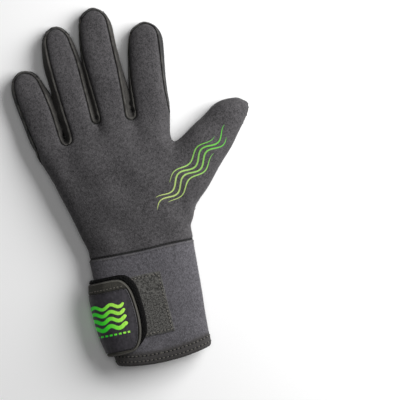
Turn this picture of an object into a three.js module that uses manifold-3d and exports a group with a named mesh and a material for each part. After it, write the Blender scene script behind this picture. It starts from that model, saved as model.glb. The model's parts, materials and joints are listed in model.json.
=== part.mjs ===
// A left-hand neoprene fishing glove, lying palm down with the back of the hand up.
// Millimetres. +X is the thumb side, +Y the fingertips, +Z the back of the hand.
// The tables are measured from the middle of the wrist seam. The group moves them so that the
// glove's box stands on z = 0 with its middle over the origin.
import * as THREE from "three";
import { mergeVertices } from "three/addons/utils/BufferGeometryUtils.js";
import Module from "manifold-3d";

const wasm = await Module();
wasm.setup();

// Driving dimensions
const wall = 2.6; // neoprene with its knit faces
const gap = 0.3; // between pieces that meet at a seam
const boxMiddle = { x: 17, y: 51.8 }; // middle of the glove's box, from the wrist seam
const widestShare = 0.42; // a section is widest at this share of its height
const sectionPower = 2.5; // 2 is an ellipse, more is squarer
const flatUnderside = 1.35; // lower half is drawn this much deeper, then cut flat where it lies
const fingerSides = 20;
const handSides = 32;
const splitHeight = 7; // back and palm panel meet here along the hand and the thumb
const strapThick = 3;
const labelThick = 0.6;
const hookRim = 4.6; // the hook pad shows this far past the strap's round end ...
const hookTopRim = 2.6; // ... and this far past its upper edge

// Fingers, a row per section from inside the hand to the tip.
// left and right are the silhouette, seamLeft and seamRight the seams on the back.
const fingers = {
  index: [
    { y: 75, left: 15, right: 41, seamLeft: 19.3, seamRight: 37.9, top: 24.5 },
    { y: 100, left: 16.1, right: 44, seamLeft: 19.5, seamRight: 40.9, top: 23.5 },
    { y: 115, left: 17.1, right: 46.5, seamLeft: 20.4, seamRight: 43.4, top: 22 },
    { y: 130, left: 18.9, right: 48, seamLeft: 22, seamRight: 44.9, top: 21 },
    { y: 145, left: 22.5, right: 49.5, seamLeft: 25.6, seamRight: 46.3, top: 20 },
    { y: 158, left: 26, right: 51, seamLeft: 29, seamRight: 47.6, top: 19 },
    { y: 166, left: 28.8, right: 49, seamLeft: 31.6, seamRight: 45.4, top: 17 },
    { y: 171, left: 32.4, right: 45.6, seamLeft: 34.4, seamRight: 43.8, top: 13.5 },
    { y: 173.4, left: 37.4, right: 42, seamLeft: 37.8, seamRight: 41.8, top: 9.5 },
  ],
  middle: [
    { y: 75, left: -11, right: 14.6, seamLeft: -8, seamRight: 11.2, top: 24.5 },
    { y: 103, left: -11.3, right: 15.4, seamLeft: -8.1, seamRight: 11.2, top: 23.5 },
    { y: 120, left: -12.2, right: 16.3, seamLeft: -8.8, seamRight: 11.7, top: 22 },
    { y: 140, left: -12.8, right: 17, seamLeft: -9.4, seamRight: 12.3, top: 21 },
    { y: 160, left: -12.5, right: 16, seamLeft: -9, seamRight: 12.5, top: 20 },
    { y: 175, left: -10.8, right: 14.6, seamLeft: -7.6, seamRight: 11.3, top: 18.5 },
    { y: 184, left: -9, right: 12, seamLeft: -5.6, seamRight: 8.6, top: 16 },
    { y: 189.5, left: -5.4, right: 8.4, seamLeft: -3.4, seamRight: 6.4, top: 12.5 },
    { y: 192.8, left: -0.4, right: 3.6, seamLeft: -0.8, seamRight: 4, top: 9.5 },
  ],
  ring: [
    { y: 75, left: -38, right: -11.6, seamLeft: -33, seamRight: -15, top: 24.5 },
    { y: 100, left: -38.6, right: -12, seamLeft: -33.2, seamRight: -15.2, top: 23 },
    { y: 120, left: -41, right: -12.9, seamLeft: -34.8, seamRight: -16, top: 21.5 },
    { y: 140, left: -42.5, right: -13.6, seamLeft: -36.3, seamRight: -16.7, top: 20.5 },
    { y: 155, left: -43, right: -14.7, seamLeft: -36.8, seamRight: -17.6, top: 19.5 },
    { y: 168, left: -41.9, right: -17.6, seamLeft: -37, seamRight: -20, top: 18 },
    { y: 176, left: -38.9, right: -20.1, seamLeft: -34.8, seamRight: -23, top: 16 },
    { y: 181.6, left: -34.7, right: -23.4, seamLeft: -32.7, seamRight: -25.3, top: 12.5 },
    { y: 184.3, left: -31.5, right: -26.8, seamLeft: -31, seamRight: -27.2, top: 9.5 },
  ],
  little: [
    { y: 68, left: -50, right: -37, seamLeft: -46.8, seamRight: -42.2, top: 23.5 },
    { y: 91, left: -63.6, right: -39.2, seamLeft: -60.4, seamRight: -42.6, top: 22.5 },
    { y: 105, left: -67, right: -40.3, seamLeft: -63.8, seamRight: -44, top: 21 },
    { y: 120, left: -69.6, right: -42, seamLeft: -66.4, seamRight: -45.4, top: 20 },
    { y: 132, left: -71.5, right: -43.6, seamLeft: -68.2, seamRight: -48, top: 19 },
    { y: 142, left: -72, right: -46.7, seamLeft: -68.6, seamRight: -50, top: 17.5 },
    { y: 149, left: -70, right: -50, seamLeft: -66.4, seamRight: -53, top: 15 },
    { y: 153.6, left: -66, right: -54.6, seamLeft: -64.2, seamRight: -56.4, top: 12 },
    { y: 155.4, left: -62.6, right: -58.4, seamLeft: -62.2, seamRight: -58.8, top: 9.5 },
  ],
};
const tipSection = 6; // the row of each finger table where its gussets end, near the tip

// Where the back seams of two neighbours meet in a round bottom
const crotches = {
  index_middle: { thumbSide: "index", littleSide: "middle", y: 100 },
  middle_ring: { thumbSide: "middle", littleSide: "ring", y: 103 },
  ring_little: { thumbSide: "ring", littleSide: "little", y: 91.5 },
};

// Hand from the wrist seam to the web between the fingers
const hand = [
  { y: 0.15, left: -41.2, right: 41.2, top: 27, base: 1.2 },
  { y: 10, left: -42, right: 42.2, top: 28, base: 0.4 },
  { y: 20, left: -45, right: 45, top: 29 },
  { y: 35, left: -48.3, right: 46, top: 30 },
  { y: 50, left: -51, right: 46, top: 30.5 },
  { y: 65, left: -55.2, right: 45, top: 30 },
  { y: 77, left: -59.6, right: 44.6, top: 28.5 },
  { y: 85, left: -62, right: 41.2, top: 27 },
  { y: 89, left: -62.8, right: 41.8, top: 26 },
  { y: 96, left: -41, right: 41, top: 23.5 },
  { y: 100, left: -33, right: 37, top: 20.5, base: 1 },
  { y: 105, left: -26, right: 26, top: 16.5, base: 3 },
  { y: 109, left: -19, right: 4, top: 12.5, base: 5 },
];

// Thumb, a row per slanted section from inside the hand to the tip.
// right is its lower edge in plan, left its upper edge, which faces the index finger.
const thumb = [
  { rightX: 27, rightY: 8, leftX: 20, leftY: 70, top: 23 },
  { rightX: 43, rightY: 13, leftX: 38, leftY: 75, top: 26.5 },
  { rightX: 50.7, rightY: 24.6, leftX: 46.6, leftY: 77.6, top: 26.2 },
  { rightX: 63, rightY: 37.5, leftX: 54, leftY: 81.2, top: 25 },
  { rightX: 74, rightY: 49.8, leftX: 62, leftY: 86.8, top: 23.5 },
  { rightX: 84, rightY: 60.8, leftX: 71, leftY: 92.2, top: 22 },
  { rightX: 92, rightY: 70.6, leftX: 79, leftY: 97.4, top: 20.5 },
  { rightX: 98.3, rightY: 77.6, leftX: 86, leftY: 99.7, top: 19 },
  { rightX: 103, rightY: 84, leftX: 93, leftY: 100.1, top: 16.5 },
  { rightX: 105.6, rightY: 88.6, leftX: 99.4, leftY: 99.3, top: 13 },
  { rightX: 106.2, rightY: 92.2, leftX: 104.2, leftY: 96, top: 9.5 },
];

// Cuff from its mouth to the wrist seam. It lies on the strap, so its base is lifted.
const cuffBase = 3.7;
const cuff = [
  { y: -90, left: -36.4, right: 37.4, top: 27.5, base: cuffBase - 1 },
  { y: -78, left: -37.6, right: 38, top: 27.6, base: cuffBase },
  { y: -60, left: -39.5, right: 38.6, top: 27.4, base: cuffBase },
  { y: -40, left: -41, right: 39.5, top: 27, base: cuffBase },
  { y: -15, left: -41.4, right: 40.4, top: 26.6, base: cuffBase },
  { y: -0.15, left: -41.2, right: 41.2, top: 27, base: 1.2 },
];
const hem = { left: -37.4, right: 37.8, cornerY: -84.6, middleY: -89.2 };

// What lies on the cuff, by how far each face stands off it
const loopFaces = { under: gap, over: 1.3 };
const hookFaces = { under: 1.6, over: 2.8 };
const strapUnder = { left: 4, top: 3.1, base: 0.4 };
const loopPatch = { left: -32, right: 10, near: -67, far: -20 };
const strapBand = { right: 34.5, near: -76.5, far: -18.2 };
const strapEnd = [
  { x: -27, y: -18.2 },
  { x: -20, y: -21.4 },
  { x: -15.6, y: -29 },
  { x: -13.5, y: -40 },
  { x: -13, y: -51 },
  { x: -14, y: -61 },
  { x: -16.6, y: -70 },
  { x: -21, y: -75.3 },
  { x: -28, y: -76.8 },
];
const hookBack = -44; // the hook pad ends at the glove's edge, inside the strap's fold
const labelPanel = { inside: 3.2, palmRight: 2, near: -70, far: -25 }; // inside the tab's curve
const foldX = -36; // left of this the strap is whole from its palm side over the edge to its top
const backSideFrom = 8; // heights that divide what lies on the back of the cuff ...
const palmSideTo = 9; // ... from what lies under it
const patchFrom = cuffBase + 12; // the pads lie on the back of the cuff only

// Cutting
const tall = 60; // height of every cutting prism
const overrun = 5; // a cutting tube runs this far past the one that it cuts
const gussetClear = 7; // a gusset's cut leaves the finger this far out in the open space
const tipBack = 2; // the back panel's seam runs this far behind the fingertip's outline
const least = 1.5; // least height of a finger's hollow
const arcStep = 30; // degrees
const arcProbe = 4; // the crotch arc is as wide as the gusset this far above its bottom

// Solids and outlines

function solidFrom(geometry) {
  const bare = geometry.clone();
  bare.deleteAttribute("normal");
  bare.deleteAttribute("uv");
  const merged = mergeVertices(bare, 1e-3);
  const vertProperties = new Float32Array(merged.attributes.position.array);
  const triVerts = new Uint32Array(merged.index.array);
  return new wasm.Manifold(new wasm.Mesh({ numProp: 3, vertProperties, triVerts }));
}

function geometryFrom(solid) {
  const mesh = solid.getMesh();
  const geometry = new THREE.BufferGeometry();
  geometry.setAttribute("position", new THREE.BufferAttribute(mesh.vertProperties, 3));
  geometry.setIndex(new THREE.BufferAttribute(mesh.triVerts, 1));
  const faceted = geometry.toNonIndexed();
  faceted.computeVertexNormals();
  return faceted;
}

// A vertical prism over a plan outline
function prism(points, bottom = -tall, top = tall) {
  const shape = new THREE.Shape(points.map((p) => new THREE.Vector2(p.x, p.y)));
  const geometry = new THREE.ExtrudeGeometry(shape, { depth: top - bottom, bevelEnabled: false });
  return solidFrom(geometry.translate(0, 0, bottom));
}

function rectangle(left, near, right, far) {
  return [
    { x: left, y: near },
    { x: right, y: near },
    { x: right, y: far },
    { x: left, y: far },
  ];
}

// The two silhouette points of a section row, moved out by grow.left and grow.right
function sides(row, grow) {
  const left = new THREE.Vector2(row.leftX ?? row.left, row.leftY ?? row.y);
  const right = new THREE.Vector2(row.rightX ?? row.right, row.rightY ?? row.y);
  const across = right.clone().sub(left).normalize();
  left.addScaledVector(across, -(grow.left ?? 0));
  right.addScaledVector(across, grow.right ?? 0);
  return { left, right };
}

// One closed section: round on top, cut flat where it lies
function sectionRing(row, grow, sideCount) {
  const { left, right } = sides(row, grow);
  const base = (row.base ?? 0) - (grow.base ?? 0);
  const top = row.top + (grow.top ?? 0);
  const widest = base + widestShare * (top - base);
  const ring = [];
  for (let k = 0; k < sideCount; k++) {
    const angle = (2 * Math.PI * (k + 0.5)) / sideCount;
    const across = Math.sign(Math.cos(angle)) * Math.abs(Math.cos(angle)) ** (2 / sectionPower);
    const up = Math.sign(Math.sin(angle)) * Math.abs(Math.sin(angle)) ** (2 / sectionPower);
    const reach = up > 0 ? top - widest : flatUnderside * (widest - base);
    const plan = left.clone().lerp(right, (1 + across) / 2);
    ring.push(new THREE.Vector3(plan.x, plan.y, Math.max(base, widest + up * reach)));
  }
  return ring;
}

// A tube through section rows, closed at both ends
function loft(rows, sideCount, grow = {}) {
  const rings = rows.map((row) => sectionRing(row, grow, sideCount));
  const corners = rings.flat();
  const faces = [];
  for (let i = 0; i + 1 < rings.length; i++) {
    for (let k = 0; k < sideCount; k++) {
      const a = i * sideCount + k;
      const b = i * sideCount + ((k + 1) % sideCount);
      faces.push(a, a + sideCount, b, b, a + sideCount, b + sideCount);
    }
  }
  const last = (rings.length - 1) * sideCount;
  for (let k = 1; k + 1 < sideCount; k++) {
    faces.push(0, k, k + 1);
    faces.push(last, last + k + 1, last + k);
  }
  const geometry = new THREE.BufferGeometry().setFromPoints(corners);
  geometry.setIndex(faces);
  return solidFrom(geometry);
}

// The same rows one wall further in, drawn back from the tip by one wall as well
function hollowRows(rows) {
  const middleOf = (row) => {
    const { left, right } = sides(row, {});
    return left.add(right).multiplyScalar(0.5);
  };
  const start = middleOf(rows[0]);
  const along = middleOf(rows[rows.length - 1]).sub(start);
  const length = along.length();
  along.normalize();
  return rows.map((row) => {
    const back = along.clone().multiplyScalar((-wall * middleOf(row).sub(start).dot(along)) / length);
    const { left, right } = sides(row, { left: -wall, right: -wall });
    left.add(back);
    right.add(back);
    const base = (row.base ?? 0) + wall;
    const top = Math.max(row.top - wall, base + least);
    return { leftX: left.x, leftY: left.y, rightX: right.x, rightY: right.y, top, base };
  });
}

function fingerHollow(rows) {
  return loft(hollowRows(rows.slice(0, -1)), fingerSides);
}

const union = (solids) => solids.reduce((joined, solid) => joined.add(solid));
const halfGap = gap / 2;

// Glove body: one hollow shell, then cut along its seams

function handShell() {
  const outer = union([
    loft(hand, handSides),
    loft(thumb, fingerSides),
    ...Object.values(fingers).map((rows) => loft(rows, fingerSides)),
  ]);
  const through = [{ ...hand[0], y: hand[0].y - overrun }, ...hand];
  const inner = union([
    loft(hollowRows(through), handSides),
    fingerHollow(thumb),
    ...Object.values(fingers).map(fingerHollow),
  ]);
  return outer.subtract(inner);
}

// Plan outline of one gusset: up one finger's seam, across the open space, down its neighbour's
function gussetOutline(crotch, widen) {
  const rightSeam = fingers[crotch.thumbSide]
    .slice(0, tipSection + 1)
    .map((row) => ({ x: row.seamLeft + widen, y: row.y }));
  const leftSeam = fingers[crotch.littleSide]
    .slice(0, tipSection + 1)
    .map((row) => ({ x: row.seamRight - widen, y: row.y }));
  const seamX = (seam, y) => {
    const after = seam.findIndex((p) => p.y > y);
    const [p, q] = [seam[after - 1], seam[after]];
    return p.x + ((q.x - p.x) * (y - p.y)) / (q.y - p.y);
  };
  const probe = crotch.y + arcProbe;
  const rightX = seamX(rightSeam, probe);
  const leftX = seamX(leftSeam, probe);
  const radius = (rightX - leftX) / 2;
  const centre = { x: (leftX + rightX) / 2, y: crotch.y - widen + radius };
  const arc = [];
  for (let degrees = 180; degrees <= 360; degrees += arcStep) {
    const angle = THREE.MathUtils.degToRad(degrees);
    arc.push({ x: centre.x + radius * Math.cos(angle), y: centre.y + radius * Math.sin(angle) });
  }
  const beyondArc = (p) => p.y > centre.y + 1;
  const rightTip = rightSeam[tipSection];
  const leftTip = leftSeam[tipSection];
  return [
    ...arc,
    ...rightSeam.filter(beyondArc),
    { x: rightTip.x - gussetClear, y: rightTip.y + 2 },
    { x: leftTip.x + gussetClear, y: leftTip.y + 2 },
    ...leftSeam.filter(beyondArc).reverse(),
  ];
}

// Plan outline of the back panel. Along the hand's edges and round the thumb it runs outside the
// silhouette, so there the panel wraps over the edge down to splitHeight.
function backOutline(inset) {
  const edge = (name, side, from) =>
    fingers[name].filter((row) => row.y >= from).map((row) => ({ x: row[side], y: row.y - tipBack }));
  const shift = (points, dx) => points.map((p) => ({ x: p.x + dx, y: p.y }));
  return [
    { x: 52, y: -10 },
    { x: 75, y: 30 },
    { x: 120, y: 80 },
    { x: 112, y: 108 },
    { x: 70, y: 104 },
    { x: 50, y: 93 },
    { x: 50, y: 98 },
    ...shift(edge("index", "seamRight", 100), -inset),
    ...shift(edge("index", "seamLeft", 166).reverse(), inset),
    { x: 26, y: 162 },
    { x: 18, y: 180 },
    ...shift(edge("middle", "seamRight", 184), -inset),
    ...shift(edge("middle", "seamLeft", 184).reverse(), inset),
    { x: -14, y: 180 },
    { x: -18, y: 172 },
    ...shift(edge("ring", "seamRight", 176), -inset),
    ...shift(edge("ring", "seamLeft", 176).reverse(), inset),
    { x: -46, y: 160 },
    { x: -47, y: 145 },
    ...shift(edge("little", "seamRight", 149), -inset),
    ...shift(edge("little", "seamLeft", 105).reverse(), inset),
    { x: -72, y: 103 },
    { x: -68, y: 60 },
    { x: -55, y: -10 },
  ];
}

function hemOutline() {
  const curve = new THREE.QuadraticBezierCurve(
    new THREE.Vector2(hem.left - 1, hem.cornerY),
    new THREE.Vector2(0, 2 * hem.middleY - hem.cornerY),
    new THREE.Vector2(hem.right + 1, hem.cornerY),
  );
  return [...curve.getPoints(10), { x: tall, y: 10 }, { x: -tall, y: 10 }];
}

// Cuff and closure

// The layer round the cuff between two offsets from its skin
function aroundCuff(under, over) {
  return loft(cuff, handSides, over).subtract(loft(stretched(cuff), handSides, under));
}

// The same tube run past both ends, for cutting
function stretched(rows) {
  const [first, last] = [rows[0], rows[rows.length - 1]];
  const nearEnd = { ...first, y: first.y - overrun };
  const farEnd = { ...last, y: last.y + overrun };
  return [nearEnd, ...rows.slice(1, -1), farEnd];
}

function cuffShell() {
  const tube = aroundCuff({ left: -wall, right: -wall, top: -wall, base: -wall }, {});
  return tube.intersect(prism(hemOutline()));
}

function layer(faces, outline) {
  const grow = (d) => ({ left: d, right: d, top: d, base: d });
  return aroundCuff(grow(faces.under), grow(faces.over)).intersect(prism(outline, patchFrom));
}

function strapFaces(depth) {
  return {
    left: strapUnder.left + depth,
    right: strapUnder.base + depth,
    top: strapUnder.top + depth,
    base: strapUnder.base + depth,
  };
}

// The strap's end on the back of the cuff, with its curve drawn in by inside
function tabPrism(inside) {
  const { near, far } = strapBand;
  const curve = strapEnd.map((p) => ({ x: p.x - inside, y: p.y }));
  return prism([{ x: -tall, y: far }, ...curve, { x: -tall, y: near }].reverse(), backSideFrom);
}

function strapRegion() {
  const { near, far } = strapBand;
  const under = prism(rectangle(-tall, near, strapBand.right, far), -tall, palmSideTo);
  const over = tabPrism(0);
  const edge = prism(rectangle(-tall, near, foldX, far));
  return union([under, over, edge]);
}

function labelRegion(grow) {
  const { inside, near, far, palmRight } = labelPanel;
  const outline = rectangle(-tall, near - grow, palmRight + grow, far + grow);
  const over = prism(outline, backSideFrom).intersect(tabPrism(inside - grow));
  const under = prism(outline, -tall, palmSideTo);
  return over.add(under);
}

function strapSolid() {
  const band = aroundCuff(strapFaces(0), strapFaces(strapThick)).intersect(strapRegion());
  const recess = aroundCuff(strapFaces(strapThick - labelThick - gap), strapFaces(strapThick + 1));
  return band.subtract(recess.intersect(labelRegion(gap)));
}

function labelSolid() {
  const skin = aroundCuff(strapFaces(strapThick - labelThick), strapFaces(strapThick));
  return skin.intersect(labelRegion(0)).intersect(strapRegion());
}

function hookOutline() {
  const span = strapEnd[0].y - strapEnd[strapEnd.length - 1].y;
  const rim = strapEnd.map((p) => {
    const upper = (p.y - strapEnd[strapEnd.length - 1].y) / span;
    return { x: p.x + hookRim, y: p.y + hookTopRim * upper };
  });
  const [first, last] = [rim[0], rim[rim.length - 1]];
  return [{ x: hookBack, y: first.y }, ...rim, { x: hookBack, y: last.y }].reverse();
}

// Materials

const finishes = {
  back: { color: 0x4a494f, roughness: 0.9 },
  palm: { color: 0x2c2c30, roughness: 0.85 },
  gusset: { color: 0x2e2d32, roughness: 0.9 },
  cuff: { color: 0x504f55, roughness: 0.9 },
  loop: { color: 0x4b494e, roughness: 1 },
  hook: { color: 0x101011, roughness: 0.6 },
  label: { color: 0x2f2f34, roughness: 0.6 },
};

function piece(name, solid, finish) {
  const material = new THREE.MeshStandardMaterial({ ...finishes[finish], metalness: 0 });
  const mesh = new THREE.Mesh(geometryFrom(solid), material);
  mesh.name = name;
  return mesh;
}

// Assembly

const glove = new THREE.Group();
glove.position.set(-boxMiddle.x, -boxMiddle.y, 0);

const shell = handShell();
const gussetCuts = [];
for (const [name, crotch] of Object.entries(crotches)) {
  const strip = shell.intersect(prism(gussetOutline(crotch, -halfGap)));
  glove.add(piece("fourchette_" + name, strip, "gusset"));
  gussetCuts.push(prism(gussetOutline(crotch, halfGap)));
}
const panels = shell.subtract(union(gussetCuts));
const above = prism(backOutline(halfGap), splitHeight + halfGap);
const aboveWide = prism(backOutline(-halfGap), splitHeight - halfGap);
glove.add(piece("back_panel", panels.intersect(above), "back"));
glove.add(piece("palm_panel", panels.subtract(aboveWide), "palm"));
glove.add(piece("cuff", cuffShell(), "cuff"));
const { left, near, right, far } = loopPatch;
glove.add(piece("loop_patch", layer(loopFaces, rectangle(left, near, right, far)), "loop"));
glove.add(piece("hook_patch", layer(hookFaces, hookOutline()), "hook"));
glove.add(piece("strap", strapSolid(), "cuff"));
glove.add(piece("strap_label", labelSolid(), "label"));

export default glove;
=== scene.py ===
# Neoprene fishing glove, left hand, lying palm down. Lengths in the tables are millimetres,
# measured from the middle of the wrist seam; meshes are moved into the frame when they are made.
import json
import math
from functools import partial, reduce

import bpy
import numpy as np
import openvdb
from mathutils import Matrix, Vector

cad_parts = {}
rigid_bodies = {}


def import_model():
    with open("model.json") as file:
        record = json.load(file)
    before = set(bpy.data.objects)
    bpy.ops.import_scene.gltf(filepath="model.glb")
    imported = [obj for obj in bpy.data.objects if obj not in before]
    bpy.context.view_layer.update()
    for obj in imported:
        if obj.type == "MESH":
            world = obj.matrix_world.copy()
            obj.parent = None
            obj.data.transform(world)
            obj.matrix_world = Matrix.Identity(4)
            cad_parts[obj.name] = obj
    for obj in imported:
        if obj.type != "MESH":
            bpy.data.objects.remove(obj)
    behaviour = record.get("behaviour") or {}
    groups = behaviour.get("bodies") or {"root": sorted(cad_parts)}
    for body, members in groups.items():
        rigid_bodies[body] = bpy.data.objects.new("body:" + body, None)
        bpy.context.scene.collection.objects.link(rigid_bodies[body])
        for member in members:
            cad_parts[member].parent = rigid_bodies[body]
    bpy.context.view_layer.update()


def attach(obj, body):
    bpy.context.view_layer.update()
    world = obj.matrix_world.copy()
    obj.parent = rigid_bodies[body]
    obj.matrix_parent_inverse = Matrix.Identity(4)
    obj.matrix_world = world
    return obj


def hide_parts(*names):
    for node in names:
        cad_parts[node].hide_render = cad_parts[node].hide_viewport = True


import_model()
print("frame loaded")

boxMiddle = (17.0, 51.8)  # middle of the glove's box, from the wrist seam
mm = 0.001


def table(columns, *rows):
    names = columns.split()
    return [dict(zip(names, row)) for row in rows]


# The cloth and how it is sewn
cloth = {
    "wall": 2.6,
    "sectionPower": 2.5,
    "widestShare": 0.42,
    "flatUnderside": 1.35,
    "seamGap": 0.3,  # slot between two sewn panels
    "seamDepth": 1.3,  # how far the cloth is drawn in at a seam
    "seamWide": 2.6,  # and how far from it that starts
    "seamBand": 5.0,
    "ridgeHigh": 0.3,  # the outer panel's edge stands up beside the seam
    "ridgeAt": 1.8,
    "ridgeWide": 0.8,
    "cushion": (0.55, 0.45),  # shares of a round and of a sharp fall in that
    "wristDepth": 0.9,
    "wristBow": ((-41, -16, 0, 22, 41), (0.6, -0.2, -0.6, -0.1, -0.4)),  # rise of the wrist seam over x
    "seamInset": 1.7,  # seam round a fingertip, inside the outline
    "floorClear": 0.5,  # room under the palm for its grip nubs
    "floorLeast": 0.2,  # and under its drawn-in seams
    "floorRound": 1.2,
    "gussetFade": (1, 6, 0.15, 0.45),  # gusset seams are drawn in less near the back
    "meeting": 0.6,  # how near to the back a gusset's seam ends
    "splitHeight": 7.0,
    "splitRound": 6.0,
    "voxel": 0.79,
    "noseShare": 0.4,  # size of the last ring that closes a fingertip, and how far it is ahead
    "noseAhead": 0.12,
    "ringSides": 72,
    "spanSteps": 5,
}


# Volumes: every cloth piece is a distance field in a box of small cells, made a mesh at the end


def makeGrid(low, high, step):
    counts = [int(math.ceil((b - a) / step)) + 1 for a, b in zip(low, high)]
    axes = [low[i] + step * np.arange(counts[i], dtype=np.float32) for i in range(3)]
    move = openvdb.createLinearTransform(
        [[step, 0, 0, 0], [0, step, 0, 0], [0, 0, step, 0], [low[0], low[1], low[2], 1]]
    )
    return {
        "step": step,
        "low": low,
        "counts": counts,
        "x": axes[0][:, None, None],
        "y": axes[1][None, :, None],
        "z": axes[2][None, None, :],
        "move": move,
    }


def smoothRows(rows, steps):
    keys = list(rows[0])
    values = np.array([[row[key] for key in keys] for row in rows], float)
    padded = np.vstack([2 * values[0] - values[1], values, 2 * values[-1] - values[-2]])
    out = []
    for i in range(1, len(values)):
        a, b, c, d = padded[i - 1 : i + 3]
        for t in np.arange(steps) / steps:
            curve = 2 * b + (c - a) * t + (2 * a - 5 * b + 4 * c - d) * t * t
            out.append(0.5 * (curve + (3 * b - a - 3 * c + d) * t ** 3))
    out.append(values[-1])
    return [dict(zip(keys, map(float, row))) for row in out]


def ringPoints(row, grow):
    left, right = (
        np.array([row.get(side + "X", row.get(side)), row.get(side + "Y", row.get("y"))], float)
        for side in ("left", "right")
    )
    across = (right - left) / np.linalg.norm(right - left)
    left = left - across * grow.get("left", 0)
    right = right + across * grow.get("right", 0)
    base = row.get("base", 0.0) - grow.get("base", 0)
    top = row["top"] + grow.get("top", 0)
    widest = base + cloth["widestShare"] * (top - base)
    angle = 2 * np.pi * (np.arange(cloth["ringSides"]) + 0.5) / cloth["ringSides"]
    power = 2 / cloth["sectionPower"]
    side = np.sign(np.cos(angle)) * np.abs(np.cos(angle)) ** power
    up = np.sign(np.sin(angle)) * np.abs(np.sin(angle)) ** power
    reach = np.where(up > 0, top - widest, cloth["flatUnderside"] * (widest - base))
    plan = left + (right - left) * (1 + side[:, None]) / 2
    return np.column_stack([plan, np.maximum(base, widest + up * reach)])


def halves(quads):
    return [quads[:, [0, 1, 2]], quads[:, [0, 2, 3]]]


def meshField(points, triangles, grid, band):
    volume = openvdb.FloatGrid.createLevelSetFromPolygons(
        np.vstack(points).astype(np.float32), triangles=np.vstack(triangles).astype(np.uint32),
        transform=grid["move"], halfWidth=band / grid["step"],
    )
    field = np.empty(grid["counts"], np.float32)
    volume.copyToArray(field)
    return field


# Faces between a row of rings of points
def tubeQuads(count, closed, sides, first):
    rows = np.arange(count if closed else count - 1)[:, None]
    k = np.arange(sides)
    nextK = (k + 1) % sides
    here, ahead = first + rows * sides, first + (rows + 1) % count * sides
    return np.stack([here + k, ahead + k, ahead + nextK, here + nextK], axis=-1).reshape(-1, 4)


def tubeField(rows, grid, band, grow=None):
    rings = [ringPoints(row, grow or {}) for row in smoothRows(rows, cloth["spanSteps"])]
    middle = rings[-1].mean(axis=0)
    nose = middle + (rings[-1] - middle) * cloth["noseShare"]
    nose[:, :2] += cloth["noseAhead"] * (middle - rings[-4].mean(axis=0))[:2]
    rings.append(nose)
    sides = cloth["ringSides"]
    around = np.arange(sides)
    after = (around + 1) % sides
    first = np.full(sides, len(rings) * sides)
    last = (len(rings) - 1) * sides
    triangles = halves(tubeQuads(len(rings), False, sides, 0))
    triangles.append(np.column_stack([first, around, after]))
    triangles.append(np.column_stack([first + 1, last + after, last + around]))
    points = rings + [rings[0].mean(axis=0)[None], nose.mean(axis=0)[None]]
    return meshField(points, triangles, grid, band)


def softMin(a, b, reach):
    overlap = np.maximum(reach - np.abs(a - b), 0) / reach
    return np.minimum(a, b) - overlap * overlap * reach / 4


def softMax(a, b, reach):
    return -softMin(-a, -b, reach)


common = lambda *fields: reduce(np.maximum, fields)  # the room that all of them share
merged = lambda *fields: reduce(np.minimum, fields)


# Distance in plan to a closed outline, below zero inside it
def outlineField(outline, grid):
    px, py = grid["x"][:, :, 0], grid["y"][:, :, 0]
    nearest = np.full((grid["counts"][0], grid["counts"][1]), 1e9, np.float32)
    inside = np.zeros(nearest.shape, bool)
    corners = np.array(outline, np.float32)
    for (ax, ay), (bx, by) in zip(corners, np.roll(corners, -1, axis=0)):
        dx, dy = bx - ax, by - ay
        length = dx * dx + dy * dy
        if length < 1e-9:
            continue
        t = np.clip(((px - ax) * dx + (py - ay) * dy) / length, 0, 1)
        nearest = np.minimum(nearest, (px - ax - t * dx) ** 2 + (py - ay - t * dy) ** 2)
        if ay != by:
            crosses = (py < max(ay, by)) & (py >= min(ay, by))
            inside ^= crosses & (px < ax + (py - ay) * dx / dy)
    distance = np.sqrt(nearest)
    return np.where(inside, -distance, distance)[:, :, None]


# Smooth curve through plan points, however unevenly they lie
def curveThrough(points, steps=6):
    p = np.array(points, float)
    gaps = np.linalg.norm(np.diff(p, axis=0), axis=1)[:, None]
    lean = (p[2:] - p[:-2]) / (gaps[:-1] + gaps[1:])
    lean = np.vstack([(p[1:2] - p[:1]) / gaps[0], lean, (p[-1:] - p[-2:-1]) / gaps[-1]])
    out = []
    for i, gap in enumerate(gaps):
        for t in np.arange(steps) / steps:
            ends = (2 * t ** 3 - 3 * t ** 2 + 1) * p[i] + (3 * t ** 2 - 2 * t ** 3) * p[i + 1]
            bends = (t ** 3 - 2 * t ** 2 + t) * lean[i] + (t ** 3 - t ** 2) * lean[i + 1]
            out.append(ends + gap * bends)
    out.append(p[-1])
    return [(float(x), float(y)) for x, y in out]


# A field's value between its cells
def sample(field, grid, points):
    places = (np.asarray(points, float) - grid["low"]) / grid["step"]
    cell = np.clip(np.floor(places).astype(int), 0, np.array(grid["counts"]) - 2)
    part = places - cell
    value = 0.0
    for corner in np.ndindex(2, 2, 2):
        share = np.prod(np.where(corner, part, 1 - part), axis=-1)
        i, j, k = (cell + corner).T
        value = value + share * field[i, j, k]
    return value


def slope(field, grid, point):
    steps = np.vstack([np.eye(3), -np.eye(3)]) * grid["step"]
    values = sample(field, grid, point + steps)
    return (values[:3] - values[3:]) / (2 * grid["step"])


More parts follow.
